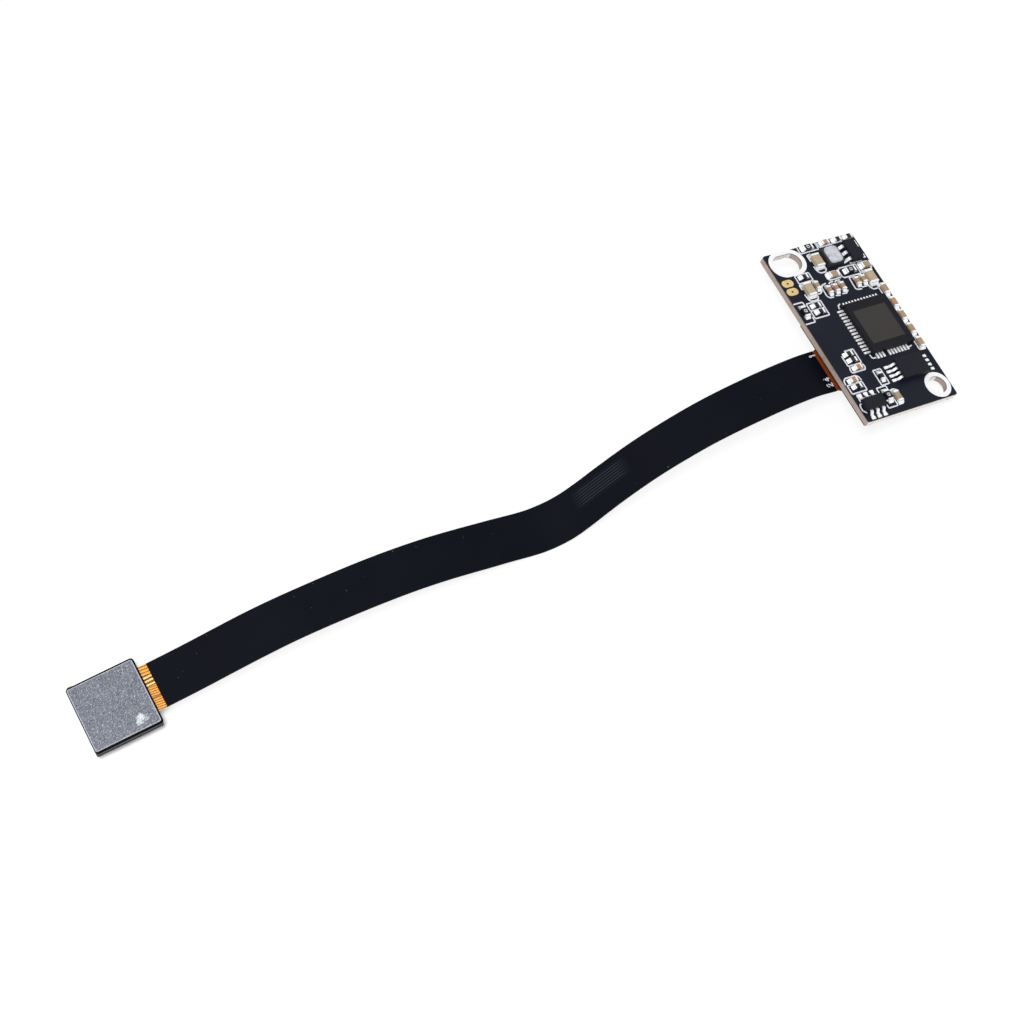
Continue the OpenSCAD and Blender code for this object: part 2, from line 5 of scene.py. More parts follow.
import bpy
from mathutils import Vector
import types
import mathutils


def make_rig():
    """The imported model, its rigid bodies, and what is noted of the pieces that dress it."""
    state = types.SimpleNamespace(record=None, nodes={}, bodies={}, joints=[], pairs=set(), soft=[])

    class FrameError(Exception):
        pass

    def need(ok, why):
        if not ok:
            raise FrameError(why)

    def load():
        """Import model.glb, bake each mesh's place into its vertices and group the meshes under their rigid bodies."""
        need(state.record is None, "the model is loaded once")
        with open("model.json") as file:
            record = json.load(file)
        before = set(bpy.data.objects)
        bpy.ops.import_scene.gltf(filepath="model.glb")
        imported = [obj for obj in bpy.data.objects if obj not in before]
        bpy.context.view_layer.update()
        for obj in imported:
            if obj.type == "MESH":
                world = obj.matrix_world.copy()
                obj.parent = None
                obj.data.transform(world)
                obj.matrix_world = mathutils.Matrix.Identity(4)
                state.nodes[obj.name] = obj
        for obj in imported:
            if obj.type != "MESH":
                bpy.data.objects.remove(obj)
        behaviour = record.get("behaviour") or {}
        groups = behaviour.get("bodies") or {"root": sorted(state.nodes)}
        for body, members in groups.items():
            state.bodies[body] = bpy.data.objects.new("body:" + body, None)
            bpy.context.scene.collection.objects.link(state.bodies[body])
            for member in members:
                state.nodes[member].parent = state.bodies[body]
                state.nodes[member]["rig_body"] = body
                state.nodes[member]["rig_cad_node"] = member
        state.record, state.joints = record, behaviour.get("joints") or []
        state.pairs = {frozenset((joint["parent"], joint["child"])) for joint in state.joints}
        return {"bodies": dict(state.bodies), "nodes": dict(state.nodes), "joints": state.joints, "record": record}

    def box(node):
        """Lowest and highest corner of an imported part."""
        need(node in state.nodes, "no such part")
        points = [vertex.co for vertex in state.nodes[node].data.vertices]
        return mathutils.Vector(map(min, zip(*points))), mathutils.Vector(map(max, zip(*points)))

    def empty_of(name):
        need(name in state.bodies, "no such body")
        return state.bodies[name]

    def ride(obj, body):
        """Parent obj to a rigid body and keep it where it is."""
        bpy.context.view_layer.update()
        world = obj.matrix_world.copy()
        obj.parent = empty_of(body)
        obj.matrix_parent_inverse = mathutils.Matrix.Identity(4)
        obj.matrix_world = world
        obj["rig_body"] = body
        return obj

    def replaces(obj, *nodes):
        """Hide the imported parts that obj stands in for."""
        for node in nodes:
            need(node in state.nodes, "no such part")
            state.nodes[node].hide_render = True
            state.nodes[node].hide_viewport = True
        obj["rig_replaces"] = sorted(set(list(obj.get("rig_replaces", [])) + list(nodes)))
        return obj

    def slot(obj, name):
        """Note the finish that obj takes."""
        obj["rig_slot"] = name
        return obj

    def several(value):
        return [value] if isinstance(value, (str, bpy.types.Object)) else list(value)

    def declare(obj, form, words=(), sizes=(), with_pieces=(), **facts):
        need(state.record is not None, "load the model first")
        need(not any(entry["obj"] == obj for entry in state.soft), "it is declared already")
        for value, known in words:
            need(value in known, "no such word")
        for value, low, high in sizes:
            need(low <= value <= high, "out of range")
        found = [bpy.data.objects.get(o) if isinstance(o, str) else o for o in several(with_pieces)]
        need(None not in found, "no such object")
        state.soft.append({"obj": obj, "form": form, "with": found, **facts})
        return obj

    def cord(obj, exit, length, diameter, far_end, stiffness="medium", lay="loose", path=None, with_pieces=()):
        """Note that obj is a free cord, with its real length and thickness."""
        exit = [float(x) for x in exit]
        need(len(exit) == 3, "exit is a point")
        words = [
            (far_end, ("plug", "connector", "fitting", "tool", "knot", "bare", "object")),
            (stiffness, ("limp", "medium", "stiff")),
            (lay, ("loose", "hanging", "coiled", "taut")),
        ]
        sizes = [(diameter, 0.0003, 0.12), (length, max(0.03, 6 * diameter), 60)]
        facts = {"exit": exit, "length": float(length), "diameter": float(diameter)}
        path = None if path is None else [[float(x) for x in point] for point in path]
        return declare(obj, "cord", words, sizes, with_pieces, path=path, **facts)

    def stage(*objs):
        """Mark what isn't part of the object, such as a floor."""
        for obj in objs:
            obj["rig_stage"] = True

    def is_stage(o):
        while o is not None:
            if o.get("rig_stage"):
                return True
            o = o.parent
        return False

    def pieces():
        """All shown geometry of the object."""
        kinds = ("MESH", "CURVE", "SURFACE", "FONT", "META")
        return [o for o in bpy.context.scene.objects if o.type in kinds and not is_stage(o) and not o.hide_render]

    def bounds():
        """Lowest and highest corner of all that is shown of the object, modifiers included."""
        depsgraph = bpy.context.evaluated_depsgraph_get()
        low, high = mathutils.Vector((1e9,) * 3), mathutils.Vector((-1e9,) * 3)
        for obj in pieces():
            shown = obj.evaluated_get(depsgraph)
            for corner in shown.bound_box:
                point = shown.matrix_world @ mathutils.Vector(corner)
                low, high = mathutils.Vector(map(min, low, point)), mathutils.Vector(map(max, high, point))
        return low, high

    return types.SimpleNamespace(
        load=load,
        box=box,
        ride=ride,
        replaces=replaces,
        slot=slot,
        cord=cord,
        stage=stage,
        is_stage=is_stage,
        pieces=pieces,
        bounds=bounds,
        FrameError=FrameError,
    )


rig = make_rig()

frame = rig.load()
cad_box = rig.bounds()
nodes = frame["nodes"]

# ---------------------------------------------------------------------------
# Camera: a long lens that looks down at the module from the front left, far
# enough away for the head at one end and the board at the other to stay in view.
# ---------------------------------------------------------------------------
camera = bpy.data.objects.new("camera", bpy.data.cameras.new("camera"))
bpy.context.scene.collection.objects.link(camera)
camera.data.sensor_width = 36
camera.data.lens = 88.56
camera.data.clip_start = 0.01
plate_low, plate_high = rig.box("stiffener_plate")
plate_edge = plate_high[0]
head_x = (plate_low[0] + plate_high[0]) / 2
head_y = (plate_low[1] + plate_high[1]) / 2
camera_right, camera_ahead, camera_height = -0.006791, -0.10499, 0.287776
look_down, roll, turn = 1.17414, -0.00066, -0.48718
camera.location = (plate_edge + camera_right, head_y + camera_ahead, camera_height)
camera.rotation_euler = (math.pi / 2 - look_down, roll, turn)
bpy.context.scene.camera = camera
bpy.context.scene.view_settings.view_transform = "Standard"


# ---------------------------------------------------------------------------
# Ribbon: a flexible flat circuit, copper between two black polyimide films that
# are laminated on and cut flush. It leaves the head as a bare amber neck, arches
# over, creases where it touches down, and climbs to the plug under the board.
# ---------------------------------------------------------------------------
def shade(red, green, blue):
    """A colour in linear values from the usual 0 to 255."""
    parts = [c / 255 for c in (red, green, blue)]
    return [c / 12.92 if c < 0.04045 else ((c + 0.055) / 1.055) ** 2.4 for c in parts] + [1]


class Wire:
    """A socket of a finish. Sums on it add Math nodes."""

    def __init__(self, finish, socket):
        self.finish = finish
        self.socket = socket

    def out(self, index):
        return Wire(self.finish, self.socket.node.outputs[index])

    def maths(self, operation, first, second=0.0):
        return self.finish.node("ShaderNodeMath", {"operation": operation}, {0: first, 1: second})

    def __add__(self, other):
        return self.maths("ADD", self, other)

    def __sub__(self, other):
        return self.maths("SUBTRACT", self, other)

    def __rsub__(self, other):
        return self.maths("SUBTRACT", other, self)

    def __mul__(self, other):
        return self.maths("MULTIPLY", self, other)

    def __truediv__(self, other):
        return self.maths("DIVIDE", self, other)

    def __mod__(self, other):
        return self.maths("FLOORED_MODULO", self, other)

    def __gt__(self, other):
        return self.maths("GREATER_THAN", self, other)

    def __lt__(self, other):
        return self.maths("LESS_THAN", self, other)

    def __abs__(self):
        return self.maths("ABSOLUTE", self)

    __radd__ = __add__
    __rmul__ = __mul__


class Finish:
    """One material: the shader's fixed values, and one method for every other node."""

    def __init__(self, name, **fixed):
        self.material = bpy.data.materials.new(name)
        self.material.use_nodes = True
        self.tree = self.material.node_tree
        self.shader = self.tree.nodes["Principled BSDF"]
        self.feed(**fixed)

    def node(self, kind, settings, sockets, out=0):
        made = self.tree.nodes.new(kind)
        for key, value in settings.items():
            if key == "stops":
                while len(made.color_ramp.elements) < len(value):
                    made.color_ramp.elements.new(0.5)
                for element, (position, colour) in zip(made.color_ramp.elements, value):
                    element.position, element.color = position, colour
            else:
                setattr(made, key, value)
        for key, value in sockets.items():
            if isinstance(value, Wire):
                self.tree.links.new(value.socket, made.inputs[key])
            else:
                made.inputs[key].default_value = value
        return Wire(self, made.outputs[out])

    def feed(self, **sockets):
        for name, value in sockets.items():
            socket = self.shader.inputs[name.replace("_", " ")]
            if isinstance(value, Wire):
                self.tree.links.new(value.socket, socket)
            else:
                socket.default_value = value

    def place(self):
        return self.node("ShaderNodeTexCoord", {}, {}, "Object")

    def along(self, axis, origin):
        """Distance from origin along an axis, at each point of the surface."""
        axis = Vector(axis)
        dot = self.node("ShaderNodeVectorMath", {"operation": "DOT_PRODUCT"},
                        {0: self.place(), 1: axis}, "Value")
        return dot - axis.dot(Vector(origin))

    def noise(self, size, detail=2.0, rough=0.5, where=None):
        """Cloudy noise from 0 to 1 whose lumps are about size across, in metres."""
        return self.node("ShaderNodeTexNoise", {},
                         {"Vector": where or self.place(), "Scale": 1 / size,
                          "Detail": detail, "Roughness": rough})

    def ramp(self, value, *stops):
        return self.node("ShaderNodeValToRGB", {"stops": stops}, {0: value})

    def step(self, value, low, high):
        """0 below low, 1 above high, smooth between."""
        return self.node("ShaderNodeMapRange", {"interpolation_type": "SMOOTHSTEP"},
                         {0: value, 1: low, 2: high, 3: 0.0, 4: 1.0})

    def mix(self, factor, first, second):
        return self.node("ShaderNodeMix", {"data_type": "RGBA"},
                         {0: factor, 6: first, 7: second}, 2)

    def lines(self, field, pitch, low, high):
        """Lines repeated at a pitch: a step of the distance from the middle of each."""
        return self.step(abs(field % pitch - pitch / 2), low, high)

    def bump(self, height, depth):
        """A normal from a height that runs from 0 to 1 over depth, in metres."""
        self.feed(Normal=self.node("ShaderNodeBump", {}, {"Height": height, "Distance": depth}))

    def grain(self, noise, dark, pale, depth, smooth=None, matt=None):
        """Lets one noise run the colour, the relief and, where given, the roughness."""
        self.feed(Base_Color=self.mix(noise, shade(*dark), shade(*pale)))
        if matt is not None:
            self.feed(Roughness=smooth + noise * (matt - smooth))
        self.bump(noise, depth)

    def give(self, *names):
        """Puts this finish on CAD nodes."""
        for name in names:
            nodes[name].data.materials.clear()
            nodes[name].data.materials.append(self.material)


def soften(name, width, segments=2):
    """Breaks the sharp edges of a CAD node, as moulding or deburring does."""
    bevel = nodes[name].modifiers.new("edges", "BEVEL")
    bevel.width = width
    bevel.segments = segments
    bevel.limit_method = "ANGLE"
    bevel.angle_limit = math.radians(40)
    bevel.harden_normals = True


# the board's own frame: x runs down its short side from the ribbon's edge, z is up from its face
board_axis = next(m for m in frame["record"]["mounts"] if m["name"] == "board_hole")["axis"]
board_lean = math.atan2(board_axis[0], board_axis[2])
board_x_axis = Vector((math.cos(board_lean), 0, -math.sin(board_lean)))
board_y_axis = Vector((0, 1, 0))
board_z_axis = Vector((math.sin(board_lean), 0, math.cos(board_lean)))
board_thickness = 0.0009
board_low, board_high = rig.box("circuit_board")
board_origin = Vector((board_low[0] + board_thickness * math.sin(board_lean), 0, board_high[2]))


def board_point(x, y, z):
    return board_origin + board_x_axis * x + board_y_axis * y + board_z_axis * z


ribbon_width = 0.0061
core_thickness, film_thickness = 0.00012, 0.00006
half_ribbon = core_thickness / 2 + film_thickness
# its middle where it leaves the head, a hair behind the plate's own middle line
ribbon_level, neck_offset = 0.00384, 0.00005
neck_length = 0.0013
neck_y = head_y + neck_offset
# level distance from the plate, sideways offset from the head's middle line, height of the
# ribbon's underside in millimetres, and lean of its near edge upwards in degrees
route = [
    (6, -0.04, 4.2, 0), (10, -0.16, 4.9, 0), (14, -0.32, 5.65, 0), (18, -0.5, 6.15, 1.5),
    (22, -0.67, 6.25, 2), (26, -0.83, 6.1, 1), (30, -1.03, 5.85, 0.5), (34, -1.25, 5.35, 0.5),
    (38, -1.47, 4.45, 0), (41, -1.66, 3.55, 0), (44, -1.86, 2.55, 0), (46, -1.97, 1.85, 0.5),
    (48, -2.08, 1.07, 1), (49.5, -2.18, 0.54, 1.5), (51, -2.29, 0.22, 2),
    (52.5, -2.37, 0.15, 2.5), (54, -2.44, 0.32, 3.8), (55.5, -2.49, 0.82, 5.4),
    (57.5, -2.57, 2.12, 7.2), (60, -2.67, 4.08, 8.8), (63, -2.77, 6.15, 9.7),
    (66, -2.82, 7.7, 9.9), (69.5, -2.87, 8.95, 9.5), (73, -2.87, 9.7, 8.5), (76.5, -2.87, 10, 7),
    (80, -2.87, 9.95, 5.8), (83, -2.83, 9.65, 5), (86, -2.77, 9.05, 4), (88.5, -2.7, 8.3, 2.5),
]
# the route stops short of the board, and the tail then runs straight under its near edge
route_gap = 0.0031
stretch = (board_origin.x - plate_edge - route_gap) / route[-1][0]
tail_y = -0.00375
core_level = -0.00191
tail_start, tail_end = 0.0001, 0.005
tail_near = board_point(tail_start, tail_y, core_level)
tail_far = board_point(tail_end, tail_y, core_level)
# knots of the middle line: x, y, z and lean. It starts level under the plate and has
# hardly risen where the neck ends
under_plate, past_neck, neck_rise = 0.004, 0.002, 0.00004
knots = [(plate_edge - under_plate, neck_y, ribbon_level, 0),
         (plate_edge, neck_y, ribbon_level, 0),
         (plate_edge + past_neck, neck_y, ribbon_level + neck_rise, 0)]
knots += [(plate_edge + x * stretch, head_y + y / 1000, z / 1000 + half_ribbon, math.radians(lean))
          for x, y, z, lean in route]
knots += [(*tail_near, 0), (*tail_far, 0)]


def chord(i, a):
    """Slope of value a from knot i straight to the next."""
    return (knots[i + 1][a] - knots[i][a]) / (knots[i + 1][0] - knots[i][0])


def knot_slope(i, a):
    """Slope of value a at knot i: level at the head, straight in the tail, even between."""
    last = len(knots) - 1
    if i <= 1:
        return 0
    if i >= last - 1:
        return chord(last - 1, a)
    before, after = knots[i][0] - knots[i - 1][0], knots[i + 1][0] - knots[i][0]
    return (before * chord(i, a) + after * chord(i - 1, a)) / (before + after)


slopes = [[0] + [knot_slope(i, a) for a in (1, 2, 3)] for i in range(len(knots))]


def ribbon_at(x):
    """Middle of the ribbon at x, with the directions across it and out of its top."""
    i = max(k for k in range(len(knots) - 1) if k == 0 or knots[k][0] <= x)
    length = knots[i + 1][0] - knots[i][0]
    t = (x - knots[i][0]) / length
    place, heading = [x], [1]
    for a in (1, 2, 3):
        start, end = knots[i][a], knots[i + 1][a]
        rise, fall = slopes[i][a], slopes[i + 1][a]
        place.append(start * (2 * t**3 - 3 * t**2 + 1) + end * (3 * t**2 - 2 * t**3)
                     + length * (rise * (t**3 - 2 * t**2 + t) + fall * (t**3 - t**2)))
        heading.append((start - end) * (6 * t**2 - 6 * t) / length
                       + rise * (3 * t**2 - 4 * t + 1) + fall * (3 * t**2 - 2 * t))
    lean = place.pop()
    level = Vector((-heading[1], 1, 0)).normalized()
    up = Vector(heading[:3]).cross(level).normalized()
    return (Vector(place), level * math.cos(lean) - up * math.sin(lean),
            up * math.cos(lean) + level * math.sin(lean))


def built(name, points, faces, finish, slot):
    """A new piece from its points and faces, in the part's own frame."""
    mesh = bpy.data.meshes.new(name)
    mesh.from_pydata(points, [], faces)
    mesh.materials.append(finish.material)
    piece = bpy.data.objects.new(name, mesh)
    bpy.context.scene.collection.objects.link(piece)
    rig.ride(piece, "root")
    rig.slot(piece, slot)
    return piece


film = Finish("black_film", Roughness=0.5, Specular_IOR_Level=0.05)
film_start = plate_edge + neck_length
film_short = 0.00005
film_end = tail_near[0] - film_short
film_rings = 320
film_overhang = 0.00001
film_side = ribbon_width / 2 + film_overhang
film_edge = 0.00003
arch_level, loosest, loosening = 0.0098, 0.1, 80
map_scale = 10
# section of the laminated ribbon, with its cut edges slightly rounded
section = [(-film_side, core_thickness / 2), (-film_side + film_edge, half_ribbon),
           (film_side - film_edge, half_ribbon), (film_side, core_thickness / 2)]
section += [(-across, -up) for across, up in section]
sides = len(section)
film_points, film_faces, film_path, film_reach = [], [], [], [0]
for ring in range(film_rings + 1):
    middle, across, up = ribbon_at(film_start + (film_end - film_start) * ring / film_rings)
    if film_path:
        film_reach.append(film_reach[-1] + (middle - film_path[-1]).length)
    film_path.append(middle)
    # below the arch, where it bends most, the film stands a little off the core
    loose = 1 + min(loosest, max(0, (arch_level - middle.z) * loosening))
    film_points += [middle + across * y + up * z * loose for y, z in section]
    if ring:
        near, far = sides * (ring - 1), sides * ring
        film_faces += [[near + k, near + (k + 1) % sides, far + (k + 1) % sides, far + k]
                       for k in range(sides)]
film_faces += [list(range(sides))[::-1], [sides * film_rings + k for k in range(sides)]]
ribbon = built("ribbon_film", film_points, film_faces, film, "cover_film")
ribbon_map = ribbon.data.uv_layers.new(name="ribbon_map")
for loop in ribbon.data.loops:
    ring, k = divmod(loop.vertex_index, sides)
    ribbon_map.data[loop.index].uv = (film_reach[ring] * map_scale,
                                      section[k][0] * map_scale + 0.5)
ribbon.data.shade_smooth()
ribbon.data.set_sharp_from_angle(angle=math.radians(30))
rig.replaces(ribbon, "cover_film_top", "cover_film_bottom")
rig.cord(ribbon, exit=film_path[0], length=film_reach[-1], diameter=ribbon_width,
        far_end="object", stiffness="stiff", lay="loose", path=film_path,
        with_pieces=["flex_circuit"])

# painted sheen: where it climbs, the traces under the film show as a patch of pale lines, with slight relief
film_map = film.node("ShaderNodeUVMap", {"uv_map": "ribbon_map"}, {})
film_xyz = film.node("ShaderNodeSeparateXYZ", {}, {0: film_map})
film_run, film_across = film_xyz / map_scale, (film_xyz.out(1) - 0.5) / map_scale
patch_run, patch_across = 0.0612, 0.0009
sheen_patch = (film.step(abs(film_across - patch_across), 0.0014, 0.0009)
               * film.step(abs(film_run - patch_run), 0.0049, 0.0025))
trace_relief_and_sheen = film.lines(film_across, 0.00036, 0.00007, 0.00015) * sheen_patch
film_grain = film.noise(0.00012, 3, 0.6)
film_cloud = film.noise(0.006, 2, 0.5)
dust = film.step(film.noise(0.0004, 1, 0.4), 0.8, 0.82)
film_colour = film.mix(film_cloud, shade(5, 7, 14), shade(11, 13, 22))
# painted sheen: the pale trace lines in the patch
film_colour = film.mix(trace_relief_and_sheen * 0.3, film_colour, shade(76, 78, 90))
film_colour = film.mix(dust * 0.5, film_colour, shade(110, 112, 120))
film.feed(Base_Color=film_colour, Roughness=0.42 + film_cloud * 0.16)
film.bump(film_grain * 0.5 + trace_relief_and_sheen * 0.5, 0.000008)

# the core: amber where it is bare, with hatched copper under the clear film of the neck;
# a band of broad bright traces divides the hatching from plain stripes at the back
flex = Finish("amber_flex", Roughness=0.3, Coat_Roughness=0.12)
flex_run = flex.along((1, 0, 0), (plate_edge, 0, 0))
flex_across = flex.along((0, 1, 0), (0, neck_y, 0))
band_front, band_back = 0.0002, 0.0017
slanted = flex_across + flex_run * 0.1
hatch_up = flex.lines(slanted, 0.0003, 0.00004, 0.00011)
hatch_down = flex.lines(flex_across - flex_run * 2, 0.0006, 0.00002, 0.00009)
stripes = flex.lines(slanted, 0.0004, 0.00005, 0.00012)
back_side = flex_across > band_back
hatch = hatch_up * (0.85 + hatch_down * 0.15)
hatch = hatch * (1 - back_side) + stripes * back_side
copper = flex.mix(hatch, shade(138, 78, 12), shade(236, 162, 50))
trace_band = (flex_across > band_front) * (flex_across < band_back)
traces = flex.lines(flex_across - band_front, 0.0005, 0.00013, 0.00008)
copper = flex.mix(trace_band, copper, flex.mix(traces, shade(96, 54, 14), shade(250, 204, 110)))
dark_line = flex.step(abs(flex_across + 0.0013), 0.00008, 0.00003)
copper = flex.mix(dark_line, copper, shade(84, 50, 12))
# painted shade: under the board the core is coloured a deeper orange, and it has no coat there
shaded_under_board = flex_run > 0.05
copper = flex.mix(shaded_under_board, copper, shade(148, 66, 18))
# on the head the same circuit carries black film, apart from the tab at its back corner
head_film, tab_run, tab_across = 0.00012, -0.0075, 0.0043
copper = flex.mix(flex_run < head_film, copper, shade(9, 9, 11))
on_tab = (flex_run < tab_run) * (flex_across > tab_across)
copper = flex.mix(on_tab, copper, shade(150, 146, 66))
flex.feed(Base_Color=copper, Metallic=0.25, Coat_Weight=0.3 - shaded_under_board * 0.3)
flex.bump(hatch, 0.00001)
flex.give("flex_circuit")

# the pin numbers printed in white on the film beside the board
white_ink = Finish("white_ink", Roughness=0.55, Specular_IOR_Level=0.3)
white_ink.grain(white_ink.noise(0.00025, 3, 0.6), (196, 200, 206), (220, 222, 226), 0.000008)


def rounded(points, radius):
    """A line with its corners rounded off."""
    points = [Vector(p) for p in points]
    closed = (points[0] - points[-1]).length < 1e-9
    if closed:
        start = (points[0] + points[1]) / 2
        points = [start] + points[1:] + [start]
    line = [points[0]]
    for before, corner, after in zip(points, points[1:], points[2:]):
        reach = min(radius, (before - corner).length / 2, (after - corner).length / 2)
        enter = corner + (before - corner).normalized() * reach
        leave = corner + (after - corner).normalized() * reach
        line += [(1 - t)**2 * enter + 2 * t * (1 - t) * corner + t**2 * leave
                 for t in (0, 0.25, 0.5, 0.75, 1)]
    return line + [points[-1]]


def printed(name, lines, width, place, radius=0.15, height=0.015,
            finish=white_ink, slot="white_ink"):
    """Ink or solder laid along lines in millimetres; place turns them into points of the part."""
    points, faces = [], []
    overrun = width / 3
    for line in lines:
        line = rounded(line, radius)
        line = [p for k, p in enumerate(line) if k == 0 or (p - line[k - 1]).length > 1e-4]
        first = len(points)
        for k, p in enumerate(line):
            before, after = line[max(k - 1, 0)], line[min(k + 1, len(line) - 1)]
            heading = (after - before).normalized()
            side = Vector((-heading.y, heading.x)) * width / 2
            if k == 0:
                p = p - heading * overrun
            if k == len(line) - 1:
                p = p + heading * overrun
            for q, z in ((p - side, 0), (p + side, 0), (p + side, height), (p - side, height)):
                points.append(place(q.x, q.y, z))
        ends = first + 4 * (len(line) - 1)
        faces += [[first + 4 * k + a, first + 4 * k + 4 + a, first + 4 * k + 4 + (a + 1) % 4,
                   first + 4 * k + (a + 1) % 4] for k in range(len(line) - 1) for a in range(4)]
        faces += [[first, first + 1, first + 2, first + 3], [ends + 3, ends + 2, ends + 1, ends]]
    return built(name, points, faces, finish, slot)


def on_film(x, y, z):
    """A place on the ribbon's top: x back from the end of the film, y across, in millimetres."""
    middle, across, up = ribbon_at(film_end - x / 1000)
    return middle + across * (y / 1000) + up * (half_ribbon + z / 1000)


# each number reads across the ribbon, with its feet towards the board
first_pin = [[(0.6, 2.25), (0.75, 2.42), (-0.05, 2.42)]]
last_pin = [
    [(0.7, -2.33), (0.88, -2.18), (0.88, -2), (0.7, -1.86), (0.1, -2.33), (0.1, -1.83)],
    [(0.05, -1.15), (0.85, -1.15), (0.3, -1.5), (0.3, -1)],
]
printed("pin_number_1", first_pin, 0.17, on_film, 0.02)
printed("pin_number_24", last_pin, 0.15, on_film, 0.05)

# ---------------------------------------------------------------------------
# Camera head: a rolled steel plate glued to the back of the flex, behind the sensor,
# with a bead of adhesive squeezed out round it. The moulded lens holder and the lens
# are on the other side, face down on the table.
# ---------------------------------------------------------------------------
plate = Finish("rolled_steel", Metallic=0.85, Specular_IOR_Level=0.4)
plate_grain = plate.noise(0.00009, 3, 0.75)
plate_speck = plate.noise(0.00016, 2, 0.6)
plate_cloud = plate.noise(0.0022, 3, 0.55)


def drawn_out(along, across, stretch):
    """A place on the plate that makes noise long in one direction, by 1 / stretch."""
    return plate.node("ShaderNodeCombineXYZ", {}, {
        0: plate.along(along, (0, 0, 0)) * stretch, 1: plate.along(across, (0, 0, 0))})


# short marks of the rolling run one way over the grain, and a few longer scratches cross them
plate_marks = plate.noise(0.0001, 3, 0.7, drawn_out((0.8, 0.6, 0), (-0.6, 0.8, 0), 0.3))
plate_scratch = plate.noise(0.00012, 1, 0.5, drawn_out((0.3, 0.95, 0), (0.95, -0.3, 0), 0.08))
plate_colour = plate.mix(plate_cloud, shade(72, 75, 84), shade(98, 101, 110))
for noise, low, high, share, tone in (
        (plate_grain, 0.47, 0.68, 0.6, (180, 184, 194)),
        (plate_marks, 0.54, 0.68, 0.7, (202, 205, 213)),
        (plate_speck, 0.46, 0.32, 0.6, (50, 52, 59)),
        (plate_scratch, 0.7, 0.78, 0.5, (214, 216, 223))):
    plate_colour = plate.mix(plate.step(noise, low, high) * share, plate_colour, shade(*tone))
plate_x = plate.along((1, 0, 0), (head_x, 0, 0))
plate_y = plate.along((0, 1, 0), (0, head_y, 0))
# a fresh scuff near the front corner by the ribbon: three ragged spots that overlap, each
# with its middle and the square of its radius
scuff_edge, scuff_fade = plate.noise(0.0003, 4, 0.8) * 1.1e-6, 4e-7
scuff = 1.0
for middle_x, middle_y, spread in ((0.0019, -0.0033, 5e-7), (0.0022, -0.0028, 6e-7),
                                   (0.0027, -0.0032, 4e-7)):
    off_x, off_y = plate_x - middle_x, plate_y - middle_y
    off = off_x * off_x * 1.1 + off_y * off_y * 1.3 + scuff_edge
    scuff = scuff * (1 - plate.step(off, spread + scuff_fade, spread))
scuff = (1 - scuff) * plate.step(plate_marks, 0.3, 0.6)
plate_colour = plate.mix(scuff * 0.75, plate_colour, shade(228, 230, 236))
# painted highlight: the face is brighter just inside its sheared edge, where the edge catches light
rim_start, rim_full = 0.00016, 0.0001
half_long, half_wide = plate_edge - head_x, plate_high[1] - head_y
rim_x = plate.step(abs(plate_x), half_long - rim_start, half_long - rim_full)
rim_y = plate.step(abs(plate_y), half_wide - rim_start, half_wide - rim_full)
plate_rim_highlight = 1 - (1 - rim_x) * (1 - rim_y)
plate_colour = plate.mix(plate_rim_highlight * 0.45, plate_colour, shade(206, 208, 214))
plate.feed(Base_Color=plate_colour, Roughness=0.4 + plate_grain * 0.25)
plate.bump(plate_grain, 0.00001)
plate.give("stiffener_plate")
soften("stiffener_plate", 0.00003)

holder = Finish("moulded_black", Roughness=0.5, Specular_IOR_Level=0.03)
holder_grain = holder.noise(0.00009, 3, 0.6)
holder_colour = holder.mix(holder_grain, shade(15, 15, 17), shade(27, 27, 30))
# a paler band round the holder, about half a millimetre below the plate
flange_level = holder.along((0, 0, 1), (0, 0, plate_low[2]))
flange_band = holder.step(abs(flange_level + 0.00052), 0.00028, 0.00018)
holder.feed(Base_Color=holder.mix(flange_band * (0.6 + holder_grain * 0.4), holder_colour,
                                  shade(92, 92, 97)))
holder.bump(holder_grain, 0.00001)
holder.give("lens_holder", "lens_barrel")
soften("lens_holder", 0.00008)
soften("lens_barrel", 0.00005)

# a bead of black adhesive squeezed out round the plate, thinner on the outer side
adhesive = Finish("black_adhesive", Roughness=0.6, Specular_IOR_Level=0.0)
adhesive.grain(adhesive.noise(0.0004, 2, 0.5), (12, 12, 14), (22, 22, 25), 0.00002)
bead_wide, bead_thin = 0.00022, 0.00011
bead_tuck = 0.00001
plate_corner = 0.00025
bead_corner = 0.00018
corner_steps = 5


def bead_ring(spread, level):
    """A loop round the plate: spread 0 is just inside its edge and 1 is the outside of the bead."""
    wide, thin = bead_wide * spread - bead_tuck, bead_thin * spread - bead_tuck
    radius = plate_corner - bead_tuck + bead_corner * spread
    left, right = plate_low[0] - thin + radius, plate_edge + wide - radius
    front, back = plate_low[1] - wide + radius, plate_high[1] + wide - radius
    corners = [(right, back), (left, back), (left, front), (right, front)]
    return [(x + radius * math.cos(turn), y + radius * math.sin(turn), level)
            for k, (x, y) in enumerate(corners)
            for turn in [math.pi / 2 * (k + j / corner_steps) for j in range(corner_steps + 1)]]


# the bead's section: spread, and millimetres up from the flex
bead_points, bead_faces = [], []
bead_section = [(0, 0.2975), (0.45, 0.2975), (0.85, 0.24), (1, 0.14), (1, 0.002), (0, 0.002)]
for spread, level in bead_section:
    bead_points += bead_ring(spread, plate_low[2] + level / 1000)
around_bead = len(bead_points) // len(bead_section)
for k in range(len(bead_section)):
    near, far = k * around_bead, (k + 1) % len(bead_section) * around_bead
    bead_faces += [[near + j, near + (j + 1) % around_bead, far + (j + 1) % around_bead, far + j]
                   for j in range(around_bead)]
built("plate_adhesive", bead_points, bead_faces, adhesive, "holder_plastic")


